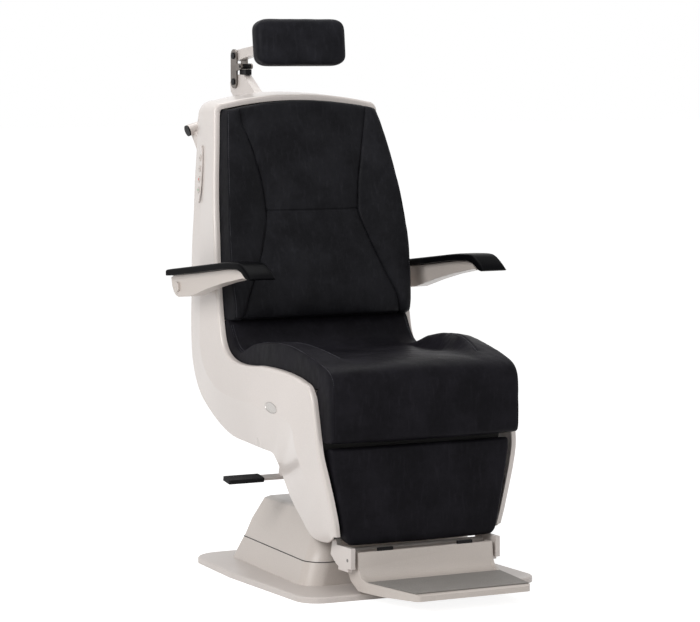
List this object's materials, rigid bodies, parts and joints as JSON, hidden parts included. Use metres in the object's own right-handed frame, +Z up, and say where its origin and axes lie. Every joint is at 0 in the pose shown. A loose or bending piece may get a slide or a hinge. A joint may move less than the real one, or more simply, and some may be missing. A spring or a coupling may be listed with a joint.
{
  "type": "ophthalmic examination chair",
  "caption": "Motorised examination chair with a lifting and swivelling column, tilting upholstered body, flip-up armrests, folding footrest and jointed headrest.",
  "frame": {"origin": "axis of the column at floor level, on the underside of the floor plate", "axes": "+Z up, the patient faces -Y, +X to the right seen from the front"},
  "size_m": [0.74, 1.326, 1.4261],
  "materials": {
    "shell": "satin",
    "cover": "satin",
    "plate": "satin",
    "foot": "satin",
    "upholstery": "satin",
    "arm_pad": "satin",
    "dark": "matte",
    "steel": "satin",
    "painted_steel": "satin",
    "tread": "matte",
    "board": "matte",
    "badge": "satin"
  },
  "bodies": {
    "base": {"base_plate": "plate", "base_skirt": "cover", "base_cover": "cover", "column_seal": "dark", "mains_inlet": "dark", "mast": "steel", "mast_bush": "dark", "lift_motor": "dark"},
    "lift": {"lift_sleeve": "painted_steel", "sleeve_bush": "dark", "lift_screw": "steel", "swivel_bearing": "steel", "swivel_cap": "dark"},
    "cradle": {"swivel_cradle": "painted_steel", "brake_pin": "steel", "actuator_pin": "steel"},
    "brake": {"brake_lever": "painted_steel", "brake_grip": "dark"},
    "actuator": {"tilt_actuator": "dark"},
    "rod": {"tilt_rod": "steel"},
    "chair": {"tilt_shaft": "steel", "tilt_crank": "steel", "crank_pin": "steel", "seat_frame": "painted_steel", "shell_mounts": "steel", "cushion_boards": "board", "side_shell_left": "shell", "side_shell_right": "shell", "back_crown": "shell", "back_shell": "shell", "leg_cover": "shell", "seat_cushion": "upholstery", "back_cushion": "upholstery", "leg_cushion": "upholstery", "badges": "badge", "control_panel": "cover", "push_handle": "painted_steel", "handle_plugs": "dark", "arm_pivots": "steel", "footrest_brackets": "painted_steel", "leg_cross_tube": "steel", "footrest_pins": "steel", "headrest_base": "painted_steel", "headrest_clamp": "dark"},
    "button_back_up": {"back_up_button": "cover"},
    "button_back_down": {"back_down_button": "cover"},
    "button_lift_up": {"lift_up_button": "cover"},
    "button_lift_down": {"lift_down_button": "cover"},
    "armrest_left": {"armrest_bracket_left": "cover", "armrest_pad_left": "arm_pad"},
    "armrest_right": {"armrest_bracket_right": "cover", "armrest_pad_right": "arm_pad"},
    "footrest_body": {"footrest": "foot", "footrest_tread": "tread", "footrest_bumpers": "dark"},
    "headrest_link": {"headrest_links": "painted_steel", "headrest_pins": "dark"},
    "headrest_upper": {"headrest_arm": "painted_steel"},
    "headrest_head": {"headrest_mount": "steel", "headrest_pad": "upholstery"}
  },
  "joints": [
    {"name": "lift", "type": "slide", "parent": "base", "child": "lift", "axis": [0, 0, 1], "range_m": [0, 0.18]},
    {"name": "swivel", "type": "hinge", "parent": "lift", "child": "cradle", "pos_m": [0, 0, 0.309], "axis": [0, 0, 1], "range_deg": [-35, 35]},
    {"name": "brake_lever_press", "type": "hinge", "parent": "cradle", "child": "brake", "pos_m": [-0.118, 0.082, 0.291], "axis": [0, -1, 0], "range_deg": [0, 10]},
    {"name": "tilt", "type": "hinge", "parent": "cradle", "child": "chair", "pos_m": [0, 0.03, 0.45], "axis": [-1, 0, 0], "range_deg": [0, 36]},
    {"name": "actuator_swing", "type": "hinge", "parent": "cradle", "child": "actuator", "pos_m": [0, 0.2, 0.342], "axis": [-1, 0, 0], "range_deg": [-3, 3]},
    {"name": "rod_slide", "type": "slide", "parent": "actuator", "child": "rod", "axis": [0, -0.9427, 0.3337], "range_m": [0, 0.035]},
    {"name": "back_up_press", "type": "slide", "parent": "chair", "child": "button_back_up", "axis": [0.9883, -0.1389, -0.0628], "range_m": [0, 0.0012], "stiffness_N_per_m": 500},
    {"name": "back_down_press", "type": "slide", "parent": "chair", "child": "button_back_down", "axis": [0.9883, -0.1389, -0.0628], "range_m": [0, 0.0012], "stiffness_N_per_m": 500},
    {"name": "lift_up_press", "type": "slide", "parent": "chair", "child": "button_lift_up", "axis": [0.9883, -0.1389, -0.0628], "range_m": [0, 0.0012], "stiffness_N_per_m": 500},
    {"name": "lift_down_press", "type": "slide", "parent": "chair", "child": "button_lift_down", "axis": [0.9883, -0.1389, -0.0628], "range_m": [0, 0.0012], "stiffness_N_per_m": 500},
    {"name": "armrest_left_flip", "type": "hinge", "parent": "chair", "child": "armrest_left", "pos_m": [-0.334, 0.3664, 0.7284], "axis": [-1, 0, 0], "range_deg": [0, 90]},
    {"name": "armrest_right_flip", "type": "hinge", "parent": "chair", "child": "armrest_right", "pos_m": [0.334, 0.3664, 0.7284], "axis": [-1, 0, 0], "range_deg": [0, 90]},
    {"name": "footrest_fold", "type": "hinge", "parent": "chair", "child": "footrest_body", "pos_m": [0, -0.3128, 0.0972], "axis": [-1, 0, 0], "range_deg": [0, 90]},
    {"name": "headrest_link_tilt", "type": "hinge", "parent": "chair", "child": "headrest_link", "pos_m": [0, 0.722, 1.2576], "axis": [-1, 0, 0], "range_deg": [0, 60]},
    {"name": "headrest_arm_tilt", "type": "hinge", "parent": "headrest_link", "child": "headrest_upper", "pos_m": [0, 0.722, 1.3286], "axis": [-1, 0, 0], "range_deg": [-8, 60]},
    {"name": "headrest_pad_tilt", "type": "hinge", "parent": "headrest_upper", "child": "headrest_head", "pos_m": [0, 0.4192, 1.365], "axis": [-1, 0, 0], "range_deg": [-22, 25]}
  ],
  "couplings": [
    {"joint": "actuator_swing", "follows": "tilt", "ratio": -0.015},
    {"joint": "rod_slide", "follows": "tilt", "m_per_rad": 0.0471}
  ]
}
